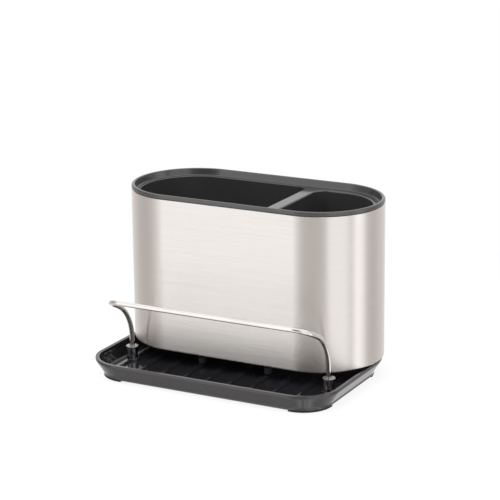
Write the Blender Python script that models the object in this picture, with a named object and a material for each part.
"""Sink organizer: a steel-clad two-pocket caddy that stands in a ribbed drip tray with a cloth rail.

Units are metres, +Z is up, the front faces -Y, and the origin lies at floor level under the
middle of the whole object. The body is a stadium in plan: a straight front and back joined by
two half-round ends. The tray shares the body's rear outline and reaches further to the front.
"""
import math

import bmesh
import bpy
from mathutils import Vector

# Steel sleeve of the caddy body
BODY_LENGTH = 0.2000
BODY_DEPTH = 0.0945
SLEEVE_HEIGHT = 0.1161
SLEEVE_CLEARANCE = 0.0008
SLEEVE_WALL = 0.0008
SLEEVE_LIP = 0.0028

# Clearance left between pieces that touch or slide into each other
FIT_GAP = 0.0003
# How far a cutting shape runs past the faces that it cuts
OVERRUN = 0.0020

# Inner tub
TUB_WALL = 0.0020
BRUSH_POCKET_LENGTH = 0.0721
PARTITION_WALL = 0.0020
SPONGE_POCKET_DEPTH = 0.0655
SPONGE_FLOOR_THICKNESS = 0.0020
DRAIN_SLOT_LENGTH = 0.0240
DRAIN_SLOT_WIDTH = 0.0035
DRAIN_SLOT_PITCH = 0.0110
DRAIN_ROW_PITCH = 0.0320
DRAIN_ROWS = 2
DRAIN_EDGE = 0.0080

# Four legs of the tub, each under a buttress on the tub's wall
LEG_RADIUS = 0.00285
LEG_SETBACK = 0.0110
LEG_RIB_SPACES = 1.5
LEG_SPIGOT_RADIUS = 0.0017
LEG_TIP_HEIGHT = 0.0045
LEG_TIP_SOLE = 0.0015
LEG_TIP_EDGE = 0.0003
BUTTRESS_WIDTH = 0.0040
BUTTRESS_HEIGHT = 0.0220
BUTTRESS_TOP_DEPTH = 0.0012

# Rim frame on top of the body
RIM_HEIGHT = 0.0030
RIM_BAND_HEIGHT = 0.0016
RIM_BAND_WIDTH = 0.0026
RIM_INNER_DROP = 0.0005
RIM_WALL_RUN = 0.0010
RIM_DECK_DROP = 0.0052
RIM_FILLET_RADIUS = 0.0010
DECK_THICKNESS = 0.0020
SPONGE_OPENING_INSET = 0.0066
BRUSH_OPENING_INSET = 0.0093
DIVIDER_WIDTH = 0.0100
SPONGE_CORNER_RADIUS = 0.0090
BRUSH_CORNER_RADIUS = 0.0090
SPONGE_EDGE_RADIUS = 0.0006
BRUSH_EDGE_RADIUS = 0.0012
COLLAR_WALL = 0.0015
COLLAR_DEPTH = 0.0240

# Snap hooks that hold the rim frame in the tub
HOOK_MARGIN = 0.0068
HOOK_WIDTH = 0.0080
HOOK_THICKNESS = 0.0010
HOOK_LENGTH = 0.0120
HOOK_BARB = 0.0013
HOOK_BARB_HEIGHT = 0.0040

# Drip tray
TRAY_FRONT_REACH = 0.0926
TRAY_SIDE_MARGIN = 0.0013
TRAY_CORNER_RADIUS = 0.0281
TRAY_HEIGHT = 0.0143
TRAY_EDGE_HEIGHT = 0.0011
TRAY_WALL = 0.0022
TRAY_RIM_WIDTH = 0.0030
TRAY_RIM_DEPTH = 0.0013
TRAY_COVE_RADIUS = 0.0060
TRAY_COVE_INSET = 0.0060
TRAY_SHOULDER_RADIUS = 0.0025
TRAY_FLOOR_HEIGHT = 0.0041
TRAY_FLOOR_THICKNESS = 0.0020
TRAY_FLOOR_FILLET = 0.0018
RIB_HEIGHT = 0.0018
RIB_PITCH = 0.0184
RIB_TOP_WIDTH = 0.0050
RIB_BASE_WIDTH = 0.0080

# Soft feet in the tray's corners
FOOT_DEPTH = 0.0110
FOOT_OVERLAP = 0.0015
FOOT_EDGE = 0.0004
REAR_FOOT_START_DEG = 8.0
REAR_FOOT_END_DEG = 52.0

# Cloth rail and the ferrules that hold it
WIRE_RADIUS = 0.0019
RAIL_STANDOFF = 0.0081
RAIL_TURN_DEG = 32.1
RAIL_REACH = 0.03525
RAIL_BAR_HEIGHT = 0.0594
RAIL_KNEE_HEIGHT = 0.0415
RAIL_KNEE_RADIUS = 0.0340
RAIL_CORNER_RADIUS = 0.0115
RAIL_END_LENGTH = 0.00165
FERRULE_WALL = 0.00065
FERRULE_RING_WIDTH = 0.00075
FERRULE_RING_HEIGHT = 0.0012
FERRULE_HEIGHT = 0.0086
FERRULE_ROUND = 0.0004
RAIL_BOSS_WALL = 0.0009
RAIL_PAD_RADIUS = 0.0060
WASHER_RADIUS = 0.0042
WASHER_THICKNESS = 0.0006
WASHER_TOOTH = 0.0007
WASHER_TEETH = 6

# Facets
BODY_ARC_STEPS = 32
TRAY_CORNER_STEPS = 12
TRAY_REAR_STEPS = 16
POCKET_CORNER_STEPS = 5
PROFILE_STEPS = 6
WALL_STEPS = 3
ROUND_STEPS = 24
KNEE_STEPS = 12
CORNER_STEPS = 10

# Places that follow from the sizes above
body_y = (TRAY_FRONT_REACH - BODY_DEPTH / 2) / 2
end_radius = BODY_DEPTH / 2
end_x = BODY_LENGTH / 2 - end_radius
sleeve_bottom = TRAY_HEIGHT + SLEEVE_CLEARANCE
sleeve_top = sleeve_bottom + SLEEVE_HEIGHT
tub_inset = SLEEVE_WALL + FIT_GAP
tub_inner = tub_inset + TUB_WALL
tub_bottom = sleeve_bottom + SLEEVE_WALL + FIT_GAP
rim_bottom = sleeve_top + FIT_GAP
rim_top = rim_bottom + RIM_HEIGHT
wall_start = rim_top - RIM_INNER_DROP
deck_top = rim_top - RIM_DECK_DROP
deck_bottom = deck_top - DECK_THICKNESS
tub_top = deck_bottom - FIT_GAP
sponge_floor = rim_top - SPONGE_POCKET_DEPTH
partition_x = BODY_LENGTH / 2 - BRUSH_POCKET_LENGTH
sponge_edge_x = partition_x - DIVIDER_WIDTH / 2
brush_edge_x = partition_x + DIVIDER_WIDTH / 2
tray_half_length = BODY_LENGTH / 2 - TRAY_SIDE_MARGIN
tray_rear_radius = end_radius - TRAY_SIDE_MARGIN
tray_inner_radius = TRAY_COVE_RADIUS + TRAY_WALL
tray_cove_center = TRAY_COVE_INSET - TRAY_COVE_RADIUS
tray_lip_low = TRAY_HEIGHT - TRAY_RIM_DEPTH
tray_root = TRAY_FLOOR_HEIGHT - TRAY_FLOOR_THICKNESS / 2
floor_underside = TRAY_FLOOR_HEIGHT - TRAY_FLOOR_THICKNESS
rib_top = TRAY_FLOOR_HEIGHT + RIB_HEIGHT
leg_x = LEG_RIB_SPACES * RIB_PITCH
leg_y = end_radius - LEG_SETBACK
leg_bottom = rib_top + FIT_GAP
bore_radius = WIRE_RADIUS + FIT_GAP
boss_radius = bore_radius + RAIL_BOSS_WALL
rail_turn = math.radians(RAIL_TURN_DEG)
rail_x = end_x + (end_radius + RAIL_STANDOFF) * math.sin(rail_turn)
rail_y = body_y - (end_radius + RAIL_STANDOFF) * math.cos(rail_turn)
bar_y = body_y - end_radius - RAIL_REACH
rail_end = floor_underside - RAIL_END_LENGTH
ferrule_bottom = rib_top + FIT_GAP
ferrule_top = ferrule_bottom + FERRULE_HEIGHT
ferrule_ring_low = ferrule_top - FERRULE_RING_HEIGHT


def clear_scene():
    for obj in list(bpy.data.objects):
        bpy.data.objects.remove(obj, do_unlink=True)


def make_material(name, color, roughness, metallic):
    material = bpy.data.materials.new(name)
    material.use_nodes = True
    shader = material.node_tree.nodes["Principled BSDF"]
    shader.inputs["Base Color"].default_value = (*color, 1.0)
    shader.inputs["Roughness"].default_value = roughness
    shader.inputs["Metallic"].default_value = metallic
    return material


def link_mesh(name, bm):
    """Turns a bmesh into a linked object with its faces pointing outwards."""
    bmesh.ops.recalc_face_normals(bm, faces=bm.faces)
    mesh = bpy.data.meshes.new(name)
    bm.to_mesh(mesh)
    bm.free()
    obj = bpy.data.objects.new(name, mesh)
    bpy.context.collection.objects.link(obj)
    return obj


def finish(obj, material, smooth_degrees=35.0):
    """Gives a finished piece its material and its smooth shading."""
    obj.data.materials.clear()
    obj.data.materials.append(material)
    obj.data.shade_smooth()
    obj.data.set_sharp_from_angle(angle=math.radians(smooth_degrees))
    return obj


def loft(name, rings, ring_closed=True):
    """Skins a stack of rings of 3-D points that all have the same count.

    With ring_closed the last ring joins the first one, which makes a hollow band. Otherwise the
    first and last rings are capped.
    """
    bm = bmesh.new()
    loops = [[bm.verts.new(point) for point in ring] for ring in rings]
    pairs = list(zip(loops, loops[1:]))
    if ring_closed:
        pairs.append((loops[-1], loops[0]))
    count = len(loops[0])
    for low, high in pairs:
        for i in range(count):
            j = (i + 1) % count
            bm.faces.new((low[i], low[j], high[j], high[i]))
    if not ring_closed:
        bm.faces.new(list(reversed(loops[0])))
        bm.faces.new(loops[-1])
    return link_mesh(name, bm)


def prism(name, outline, low, high):
    """An upright prism over a flat outline."""
    return loft(name, [at_height(outline, low), at_height(outline, high)], ring_closed=False)


def box(name, low, high):
    outline = [(low[0], low[1]), (high[0], low[1]), (high[0], high[1]), (low[0], high[1])]
    return prism(name, outline, low[2], high[2])


def boolean(target, tool, operation):
    """Applies one Boolean step and takes the tool away."""
    bpy.context.view_layer.objects.active = target
    modifier = target.modifiers.new(operation.title(), "BOOLEAN")
    modifier.operation = operation
    modifier.solver = "EXACT"
    modifier.object = tool
    bpy.ops.object.modifier_apply(modifier=modifier.name)
    bpy.data.objects.remove(tool, do_unlink=True)
    return target


def unite(target, tool):
    return boolean(target, tool, "UNION")


def cut(target, tool):
    return boolean(target, tool, "DIFFERENCE")


def at_height(outline, z):
    return [(x, y, z) for x, y in outline]


def arc(center, radius, start_deg, end_deg, steps):
    """Points along an arc, both ends included."""
    points = []
    for i in range(steps + 1):
        angle = math.radians(start_deg + (end_deg - start_deg) * i / steps)
        points.append((center[0] + radius * math.cos(angle), center[1] + radius * math.sin(angle)))
    return points


def circle(center, radius, steps=ROUND_STEPS):
    return arc(center, radius, 0.0, 360.0, steps)[:-1]


def body_outline(inset):
    """The body's stadium in plan, moved inwards by the inset."""
    radius = end_radius - inset
    right = arc((end_x, body_y), radius, -90.0, 90.0, BODY_ARC_STEPS)
    left = arc((-end_x, body_y), radius, 90.0, 270.0, BODY_ARC_STEPS)
    return right + left


def pocket_outline(side, edge_x, inset, corner_radius, grow):
    """One opening: the body's half-round end moved inwards, and a straight side at the divider.

    The corners at the divider touch the straight front and back, or the end's own curve where the
    pocket is shorter than its half-round end and a corner.
    """
    radius = end_radius - inset + grow
    corner = corner_radius + grow
    x = side * edge_x + corner_radius
    past = max(x - end_x, 0.0)
    reach = math.sqrt((radius - corner) ** 2 - past ** 2)
    turn = math.degrees(math.atan2(reach, past))
    points = (arc((end_x, 0.0), radius, -turn, turn, BODY_ARC_STEPS)
              + arc((x, reach), corner, turn, 180.0, POCKET_CORNER_STEPS)
              + arc((x, -reach), corner, 180.0, 360.0 - turn, POCKET_CORNER_STEPS))
    return [(side * px, body_y + side * py) for px, py in points]


def sponge_outline(grow):
    """The large left opening, with round corners at the divider."""
    return pocket_outline(-1, sponge_edge_x, SPONGE_OPENING_INSET, SPONGE_CORNER_RADIUS, grow)


def brush_outline(grow):
    """The small right opening, with round corners at the divider."""
    return pocket_outline(1, brush_edge_x, BRUSH_OPENING_INSET, BRUSH_CORNER_RADIUS, grow)


def tray_corner_centers():
    front_y = body_y - TRAY_FRONT_REACH + TRAY_CORNER_RADIUS
    return tray_half_length - TRAY_CORNER_RADIUS, front_y


def tray_outline(inset):
    """The tray in plan: round front corners, and a rear that follows the body's ends."""
    corner_x, front_y = tray_corner_centers()
    corner = TRAY_CORNER_RADIUS - inset
    rear = tray_rear_radius - inset
    return (arc((corner_x, front_y), corner, -90.0, 0.0, TRAY_CORNER_STEPS)
            + arc((end_x, body_y), rear, 0.0, 90.0, TRAY_REAR_STEPS)
            + arc((-end_x, body_y), rear, 90.0, 180.0, TRAY_REAR_STEPS)
            + arc((-corner_x, front_y), corner, 180.0, 270.0, TRAY_CORNER_STEPS))


def turned(name, center, profile, closed=False):
    """A round piece on an upright axis, from a profile of radius and height."""
    rings = [at_height(circle(center, radius), z) for radius, z in profile]
    return loft(name, rings, ring_closed=closed)


def wall_slope():
    """Angle from upright of the straight run between the wall's hollow foot and its shoulder."""
    rise = tray_lip_low - TRAY_EDGE_HEIGHT
    radii = TRAY_COVE_RADIUS + TRAY_SHOULDER_RADIUS
    spare = TRAY_COVE_INSET - radii
    return math.atan2(spare, rise) + math.asin(radii / math.hypot(spare, rise))


def cove_point(radius, turn):
    """Inset and height of a point on the wall's hollow foot, by its angle from level."""
    return tray_cove_center + radius * math.cos(turn), TRAY_EDGE_HEIGHT + radius * math.sin(turn)


def inner_foot_inset(z):
    """How far the inner face's foot lies inside the rim at one height."""
    return tray_cove_center + math.sqrt(tray_inner_radius ** 2 - (z - TRAY_EDGE_HEIGHT) ** 2)


def spread(low, high, steps):
    return [low + (high - low) * i / steps for i in range(steps + 1)]


def tray_profile():
    """Inset and height pairs round the tray's section, from its underside to its floor."""
    slope = wall_slope()
    rim_round = TRAY_RIM_WIDTH / 3
    skirt_inset = TRAY_COVE_INSET + TRAY_WALL
    profile = [(skirt_inset, floor_underside), (skirt_inset, TRAY_EDGE_HEIGHT)]
    for turn in spread(0.0, slope, WALL_STEPS):
        profile.append(cove_point(TRAY_COVE_RADIUS, turn))
    for turn in spread(slope, 0.0, WALL_STEPS):
        profile.append((TRAY_SHOULDER_RADIUS * (1 - math.cos(turn)),
                        tray_lip_low - TRAY_SHOULDER_RADIUS * math.sin(turn)))
    profile.append((0.0, TRAY_HEIGHT - rim_round))
    for angle in (45.0, 90.0):
        profile.append(round_edge(rim_round, angle))
    for angle in (90.0, 45.0, 0.0):
        inset, z = round_edge(rim_round, angle)
        profile.append((TRAY_RIM_WIDTH - inset, z))
    inset, z = cove_point(tray_inner_radius, slope)
    profile.append((TRAY_RIM_WIDTH, z + (inset - TRAY_RIM_WIDTH) / math.tan(slope)))
    reach = tray_inner_radius + TRAY_FLOOR_FILLET
    low_turn = math.asin((TRAY_FLOOR_HEIGHT + TRAY_FLOOR_FILLET - TRAY_EDGE_HEIGHT) / reach)
    for turn in spread(slope, low_turn, WALL_STEPS):
        profile.append(cove_point(tray_inner_radius, turn))
    center = tray_cove_center + reach * math.cos(low_turn)
    for turn in spread(low_turn, math.pi / 2, WALL_STEPS)[1:]:
        profile.append((center - TRAY_FLOOR_FILLET * math.cos(turn),
                        TRAY_FLOOR_HEIGHT + TRAY_FLOOR_FILLET * (1 - math.sin(turn))))
    return profile


def round_edge(radius, angle_deg):
    """A point on the rim's rounded outer edge, as inset and height."""
    angle = math.radians(angle_deg)
    return radius * (1 - math.cos(angle)), TRAY_HEIGHT - radius * (1 - math.sin(angle))


def tray_ribs():
    """Tapered bars along Y across the whole floor, trimmed to the inside of the wall."""
    wall_foot = inner_foot_inset(rib_top)
    half_floor = tray_half_length - wall_foot
    per_side = int((half_floor - RIB_BASE_WIDTH / 2) / RIB_PITCH + 0.5)
    flank = (RIB_BASE_WIDTH - RIB_TOP_WIDTH) / 2 / RIB_HEIGHT
    root_width = RIB_TOP_WIDTH + 2 * flank * (rib_top - tray_root)
    front = body_y - TRAY_FRONT_REACH
    back = body_y + end_radius
    bm = bmesh.new()
    for k in range(per_side):
        for side in (-1, 1):
            x = side * (k + 0.5) * RIB_PITCH
            ends = []
            for y in (front, back):
                section = [(x - root_width / 2, y, tray_root), (x + root_width / 2, y, tray_root),
                           (x + RIB_TOP_WIDTH / 2, y, rib_top), (x - RIB_TOP_WIDTH / 2, y, rib_top)]
                ends.append([bm.verts.new(point) for point in section])
            for i in range(4):
                j = (i + 1) % 4
                bm.faces.new((ends[0][i], ends[0][j], ends[1][j], ends[1][i]))
            bm.faces.new(list(reversed(ends[0])))
            bm.faces.new(ends[1])
    ribs = link_mesh("ribs", bm)
    trim = prism("trim", tray_outline(wall_foot - TRAY_WALL / 4), tray_root - OVERRUN, rib_top + OVERRUN)
    return boolean(ribs, trim, "INTERSECT")


def build_drip_tray(material):
    """The moulded tray: flared wall, rolled rim, ribbed floor and two tubular rail bosses."""
    rings = [at_height(tray_outline(inset), z) for inset, z in tray_profile()]
    tray = loft("drip_tray", rings, ring_closed=False)
    unite(tray, tray_ribs())
    boss_top = ferrule_ring_low - FIT_GAP
    for side in (-1, 1):
        center = (side * rail_x, rail_y)
        unite(tray, turned("pad", center, [(RAIL_PAD_RADIUS, tray_root), (RAIL_PAD_RADIUS, rib_top)]))
        unite(tray, turned("boss", center, [(boss_radius, tray_root), (boss_radius, boss_top)]))
        cut(tray, turned("bore", center, [(bore_radius, -OVERRUN), (bore_radius, ferrule_top)]))
    return finish(tray, material)


def foot_outline(path, inset):
    """The plan of a soft foot: the tray's own curve outside and its offset inside."""
    return path(inset) + list(reversed(path(TRAY_COVE_INSET + FOOT_DEPTH)))


def build_foot(name, path, material):
    """A soft pad under the tray's edge with a raised step that seats inside the skirt."""
    pad_inset = TRAY_COVE_INSET
    step_inset = TRAY_COVE_INSET + TRAY_WALL + FIT_GAP
    pad_top = TRAY_EDGE_HEIGHT - FIT_GAP
    levels = [(pad_inset + FOOT_EDGE, 0.0), (pad_inset, FOOT_EDGE), (pad_inset, pad_top),
              (step_inset, pad_top), (step_inset, floor_underside - FIT_GAP)]
    rings = [at_height(foot_outline(path, inset), z) for inset, z in levels]
    return finish(loft(name, rings, ring_closed=False), material)


def front_foot_path(side):
    """The curve of one front corner, run on a little along both straight edges."""
    corner_x, front_y = tray_corner_centers()

    def path(inset):
        radius = TRAY_CORNER_RADIUS - inset
        points = arc((corner_x, front_y), radius, -90.0, 0.0, TRAY_CORNER_STEPS)
        points.insert(0, (corner_x - FOOT_OVERLAP, front_y - radius))
        points.append((corner_x + radius, front_y + FOOT_OVERLAP))
        return [(side * x, y) for x, y in points]
    return path


def rear_foot_path(side):
    """The curve of one rear foot, along the tray's half-round end."""
    def path(inset):
        radius = tray_rear_radius - inset
        points = arc((end_x, body_y), radius, REAR_FOOT_START_DEG, REAR_FOOT_END_DEG, TRAY_CORNER_STEPS)
        return [(side * x, y) for x, y in points]
    return path


def build_feet(material):
    for word, side in (("left", -1), ("right", 1)):
        build_foot("foot_front_" + word, front_foot_path(side), material)
        build_foot("foot_rear_" + word, rear_foot_path(side), material)


def build_steel_sleeve(material):
    """The brushed steel band with its inward lip along the lower edge."""
    lip_top = sleeve_bottom + SLEEVE_WALL
    profile = [(0.0, sleeve_bottom), (0.0, sleeve_top), (SLEEVE_WALL, sleeve_top),
               (SLEEVE_WALL, lip_top), (SLEEVE_LIP, lip_top), (SLEEVE_LIP, sleeve_bottom)]
    rings = [at_height(body_outline(inset), z) for inset, z in profile]
    return finish(loft("steel_sleeve", rings), material)


def hook_places():
    """The x, and the side of the body that each hook faces, near the ends of the straight walls."""
    x = end_x - HOOK_MARGIN
    return [(-x, -1), (-x, 1), (x, -1), (x, 1)]


def hook_levels():
    """Heights of a hook's lower end and of its barb's flat upper face."""
    low = deck_bottom - HOOK_LENGTH
    return low, low + HOOK_BARB_HEIGHT


def side_span(side, inset_a, inset_b):
    """The low and high y of a slab between two insets on the front or back wall."""
    a = body_y + side * (end_radius - inset_a)
    b = body_y + side * (end_radius - inset_b)
    return min(a, b), max(a, b)


def add_legs(tub):
    """Buttresses on the front and back walls carry the legs and their thin spigots."""
    wall_middle = end_radius - tub_inset - TUB_WALL / 2
    sole = leg_bottom + LEG_TIP_SOLE + FIT_GAP
    shoulder = leg_bottom + LEG_TIP_HEIGHT + FIT_GAP
    for x in (-leg_x, leg_x):
        for side in (-1, 1):
            center = (x, body_y + side * leg_y)
            near = body_y + side * wall_middle
            far = body_y + side * (leg_y - LEG_RADIUS)
            top_far = body_y + side * (wall_middle - TUB_WALL / 2 - BUTTRESS_TOP_DEPTH)
            lower = [(x - BUTTRESS_WIDTH / 2, near), (x + BUTTRESS_WIDTH / 2, near),
                     (x + BUTTRESS_WIDTH / 2, far), (x - BUTTRESS_WIDTH / 2, far)]
            upper = [(px, py if py == near else top_far) for px, py in lower]
            web = loft("web", [at_height(lower, tub_bottom), at_height(lower, tub_bottom + LEG_RADIUS),
                               at_height(upper, tub_bottom + BUTTRESS_HEIGHT)], ring_closed=False)
            unite(tub, web)
            unite(tub, turned("leg", center, [
                (LEG_SPIGOT_RADIUS, sole), (LEG_SPIGOT_RADIUS, shoulder),
                (LEG_RADIUS, shoulder), (LEG_RADIUS, tub_bottom + LEG_RADIUS)]))
    return tub


def drain_slots():
    """Rows of slots across the raised sponge floor, kept inside the half-round end."""
    slots = []
    right = partition_x - PARTITION_WALL / 2 - DRAIN_EDGE
    left = -end_x - (end_radius - DRAIN_EDGE) / 2
    count = int((right - left - DRAIN_SLOT_WIDTH) / DRAIN_SLOT_PITCH) + 1
    middle = (left + right) / 2
    for row in range(DRAIN_ROWS):
        y = body_y + (row - (DRAIN_ROWS - 1) / 2) * DRAIN_ROW_PITCH
        for k in range(count):
            slots.append((middle + (k - (count - 1) / 2) * DRAIN_SLOT_PITCH, y))
    return slots


def slot_outline(center):
    """A slot along Y with half-round ends."""
    x, y = center
    radius = DRAIN_SLOT_WIDTH / 2
    reach = DRAIN_SLOT_LENGTH / 2 - radius
    return (arc((x, y + reach), radius, 0.0, 180.0, POCKET_CORNER_STEPS)
            + arc((x, y - reach), radius, 180.0, 360.0, POCKET_CORNER_STEPS))


def build_inner_tub(material):
    """The plastic tub inside the sleeve: partition, raised slotted floor, open brush side, legs."""
    profile = [(tub_inset, tub_bottom), (tub_inset, tub_top), (tub_inner, tub_top), (tub_inner, tub_bottom)]
    tub = loft("inner_tub", [at_height(body_outline(inset), z) for inset, z in profile])
    wall_middle = tub_inset + TUB_WALL / 2
    reach = end_radius - wall_middle
    wall = PARTITION_WALL / 2
    unite(tub, box("partition", (partition_x - wall, body_y - reach, tub_bottom),
                   (partition_x + wall, body_y + reach, tub_top)))
    floor_low = sponge_floor - SPONGE_FLOOR_THICKNESS
    floor_plan = (arc((-end_x, body_y), reach, 90.0, 270.0, BODY_ARC_STEPS)
                  + [(partition_x, body_y - reach), (partition_x, body_y + reach)])
    unite(tub, prism("floor", floor_plan, floor_low, sponge_floor))
    for center in drain_slots():
        cut(tub, prism("slot", slot_outline(center), floor_low - OVERRUN, sponge_floor + OVERRUN))
    add_legs(tub)
    barb_low, barb_high = hook_levels()
    for x, side in hook_places():
        low_y, high_y = side_span(side, tub_inset - OVERRUN, tub_inner + OVERRUN)
        half = HOOK_WIDTH / 2 + FIT_GAP
        cut(tub, box("window", (x - half, low_y, barb_low - FIT_GAP),
                     (x + half, high_y, barb_high + FIT_GAP)))
    return finish(tub, material)


def build_leg_tips(material):
    """Soft tips on the tub's four legs: a cup over the spigot with a closed sole."""
    high = leg_bottom + LEG_TIP_HEIGHT
    sole = leg_bottom + LEG_TIP_SOLE
    inner = LEG_SPIGOT_RADIUS + FIT_GAP
    for side, end in ((-1, "front"), (1, "rear")):
        for x, word in ((-leg_x, "left"), (leg_x, "right")):
            tip = turned("leg_tip_" + end + "_" + word, (x, body_y + side * leg_y), [
                (LEG_RADIUS - LEG_TIP_EDGE, leg_bottom), (LEG_RADIUS, leg_bottom + LEG_TIP_EDGE),
                (LEG_RADIUS, high), (inner, high), (inner, sole)])
            finish(tip, material)


def rim_profile():
    """Inset and height pairs over the rim's section, from the deck's underside to its top."""
    shoulder = rim_bottom + RIM_BAND_HEIGHT
    top_round = rim_top - shoulder
    crown = RIM_BAND_WIDTH / 2
    profile = [(tub_inset, deck_bottom), (tub_inset, rim_bottom), (0.0, rim_bottom)]
    for angle in spread(0.0, 90.0, PROFILE_STEPS // 2):
        turn = math.radians(angle)
        profile.append((crown * (1 - math.cos(turn)), shoulder + top_round * math.sin(turn)))
    profile.append((RIM_BAND_WIDTH, wall_start))
    head = (RIM_BAND_WIDTH, 0.0, wall_start)
    foot = (RIM_BAND_WIDTH + RIM_WALL_RUN, 0.0, deck_top)
    field = (end_radius, 0.0, deck_top)
    for inset, _, z in bend(head, foot, field, RIM_FILLET_RADIUS, PROFILE_STEPS):
        profile.append((inset, z))
    return profile


def opening_cutter(name, outline, edge_radius):
    """A shaft through the deck whose upper end flares, which rounds the opening's edge."""
    low = deck_top - COLLAR_DEPTH - OVERRUN
    rings = [at_height(outline(0.0), low)]
    for angle in spread(0.0, 90.0, PROFILE_STEPS // 2):
        turn = math.radians(angle)
        grow = edge_radius * (1 - math.cos(turn))
        rings.append(at_height(outline(grow), deck_top - edge_radius * (1 - math.sin(turn))))
    rings.append(at_height(outline(edge_radius), rim_top + OVERRUN))
    return loft(name, rings, ring_closed=False)


def add_hooks(frame):
    """Four spring tongues under the deck, each with a wedge-shaped barb that faces the wall."""
    face = tub_inner + FIT_GAP
    barb_low, barb_high = hook_levels()
    for x, side in hook_places():
        back = face + HOOK_THICKNESS
        tip = face - HOOK_BARB
        section = [(back, deck_bottom + DECK_THICKNESS / 2), (back, barb_low), (face, barb_low),
                   (tip, barb_high - FIT_GAP * 2), (tip, barb_high - FIT_GAP), (face, barb_high - FIT_GAP),
                   (face, deck_bottom + DECK_THICKNESS / 2)]
        ends = []
        for edge in (x - HOOK_WIDTH / 2, x + HOOK_WIDTH / 2):
            ends.append([(edge, body_y + side * (end_radius - inset), z) for inset, z in section])
        unite(frame, loft("hook", ends, ring_closed=False))
    return frame


def build_rim_frame(material):
    """The top frame: rounded band, steep inner wall, deck with the divider, and two collars."""
    rings = [at_height(body_outline(inset), z) for inset, z in rim_profile()]
    frame = loft("rim_frame", rings, ring_closed=False)
    collar_low = deck_top - COLLAR_DEPTH
    collar_high = deck_top - DECK_THICKNESS / 2
    for outline in (sponge_outline, brush_outline):
        unite(frame, prism("collar", outline(COLLAR_WALL), collar_low, collar_high))
    cut(frame, opening_cutter("opening", sponge_outline, SPONGE_EDGE_RADIUS))
    cut(frame, opening_cutter("opening", brush_outline, BRUSH_EDGE_RADIUS))
    add_hooks(frame)
    return finish(frame, material)


def bend(start, corner, end, radius, steps):
    """Points of a round bend of the given radius where two straight runs meet."""
    start, corner, end = Vector(start), Vector(corner), Vector(end)
    to_start = (start - corner).normalized()
    to_end = (end - corner).normalized()
    half = to_start.angle(to_end) / 2
    middle = (to_start + to_end).normalized()
    center = corner + middle * (radius / math.sin(half))
    first = corner + to_start * (radius / math.tan(half)) - center
    last = corner + to_end * (radius / math.tan(half)) - center
    sweep = first.angle(last)
    points = []
    for i in range(steps + 1):
        share = i / steps
        mix = first * math.sin((1 - share) * sweep) + last * math.sin(share * sweep)
        points.append(tuple(center + mix / math.sin(sweep)))
    return points


def rail_path():
    """The rail's centre line: up from the tray, forward over the knee, across, and back down."""
    foot = (rail_x, rail_y, rail_end)
    knee = (rail_x, rail_y, RAIL_KNEE_HEIGHT)
    corner = (rail_x, bar_y, RAIL_BAR_HEIGHT)
    middle = (0.0, bar_y, RAIL_BAR_HEIGHT)
    half = [foot]
    half += bend(foot, knee, corner, RAIL_KNEE_RADIUS, KNEE_STEPS)
    half += bend(knee, corner, middle, RAIL_CORNER_RADIUS, CORNER_STEPS)
    return half + [(-x, y, z) for x, y, z in reversed(half)]


def build_cloth_rail(material):
    """One bent wire, swept along its centre line."""
    curve = bpy.data.curves.new("cloth_rail", "CURVE")
    curve.dimensions = "3D"
    curve.bevel_depth = WIRE_RADIUS
    curve.bevel_resolution = 4
    curve.use_fill_caps = True
    points = rail_path()
    spline = curve.splines.new("POLY")
    spline.points.add(len(points) - 1)
    for point, place in zip(spline.points, points):
        point.co = (*place, 1.0)
    curve.materials.append(material)
    rail = bpy.data.objects.new("cloth_rail", curve)
    bpy.context.collection.objects.link(rail)
    return rail


def build_ferrules(material):
    """Chromed caps over the rail bosses: a sleeve, a ring on top and the wire's hole."""
    inner = boss_radius + FIT_GAP
    outer = inner + FERRULE_WALL
    ring = outer + FERRULE_RING_WIDTH
    for word, side in (("left", -1), ("right", 1)):
        profile = [(inner, ferrule_bottom), (outer, ferrule_bottom), (outer, ferrule_ring_low),
                   (ring, ferrule_ring_low), (ring, ferrule_top - FERRULE_ROUND),
                   (ring - FERRULE_ROUND, ferrule_top), (bore_radius, ferrule_top),
                   (bore_radius, ferrule_ring_low), (inner, ferrule_ring_low)]
        cap = turned("rail_ferrule_" + word, (side * rail_x, rail_y), profile, closed=True)
        finish(cap, material)


def build_washers(material):
    """Push-on washers that grip the wire's ends under the tray floor."""
    high = floor_underside - FIT_GAP
    low = high - WASHER_THICKNESS
    steps = WASHER_TEETH * 4
    for word, side in (("left", -1), ("right", 1)):
        center = (side * rail_x, rail_y)
        outer = circle(center, WASHER_RADIUS, steps)
        tips = circle(center, bore_radius, steps)
        roots = circle(center, bore_radius + WASHER_TOOTH, steps)
        inner = [tips[i] if i % 4 < 2 else roots[i] for i in range(steps)]
        rings = [at_height(outer, low), at_height(outer, high),
                 at_height(inner, high), at_height(inner, low)]
        finish(loft("rail_washer_" + word, rings), material)


def main():
    clear_scene()
    tray_plastic = make_material("tray_plastic", (0.075, 0.072, 0.078), 0.25, 0.0)
    frame_plastic = make_material("frame_plastic", (0.085, 0.082, 0.085), 0.40, 0.0)
    tub_plastic = make_material("tub_plastic", (0.030, 0.032, 0.034), 0.45, 0.0)
    soft_plastic = make_material("soft_plastic", (0.060, 0.058, 0.062), 0.70, 0.0)
    brushed_steel = make_material("brushed_steel", (0.72, 0.70, 0.67), 0.30, 1.0)
    chrome = make_material("chrome", (0.80, 0.80, 0.80), 0.08, 1.0)
    build_drip_tray(tray_plastic)
    build_feet(soft_plastic)
    build_cloth_rail(chrome)
    build_ferrules(chrome)
    build_washers(chrome)
    build_steel_sleeve(brushed_steel)
    build_inner_tub(tub_plastic)
    build_leg_tips(soft_plastic)
    build_rim_frame(frame_plastic)


main()
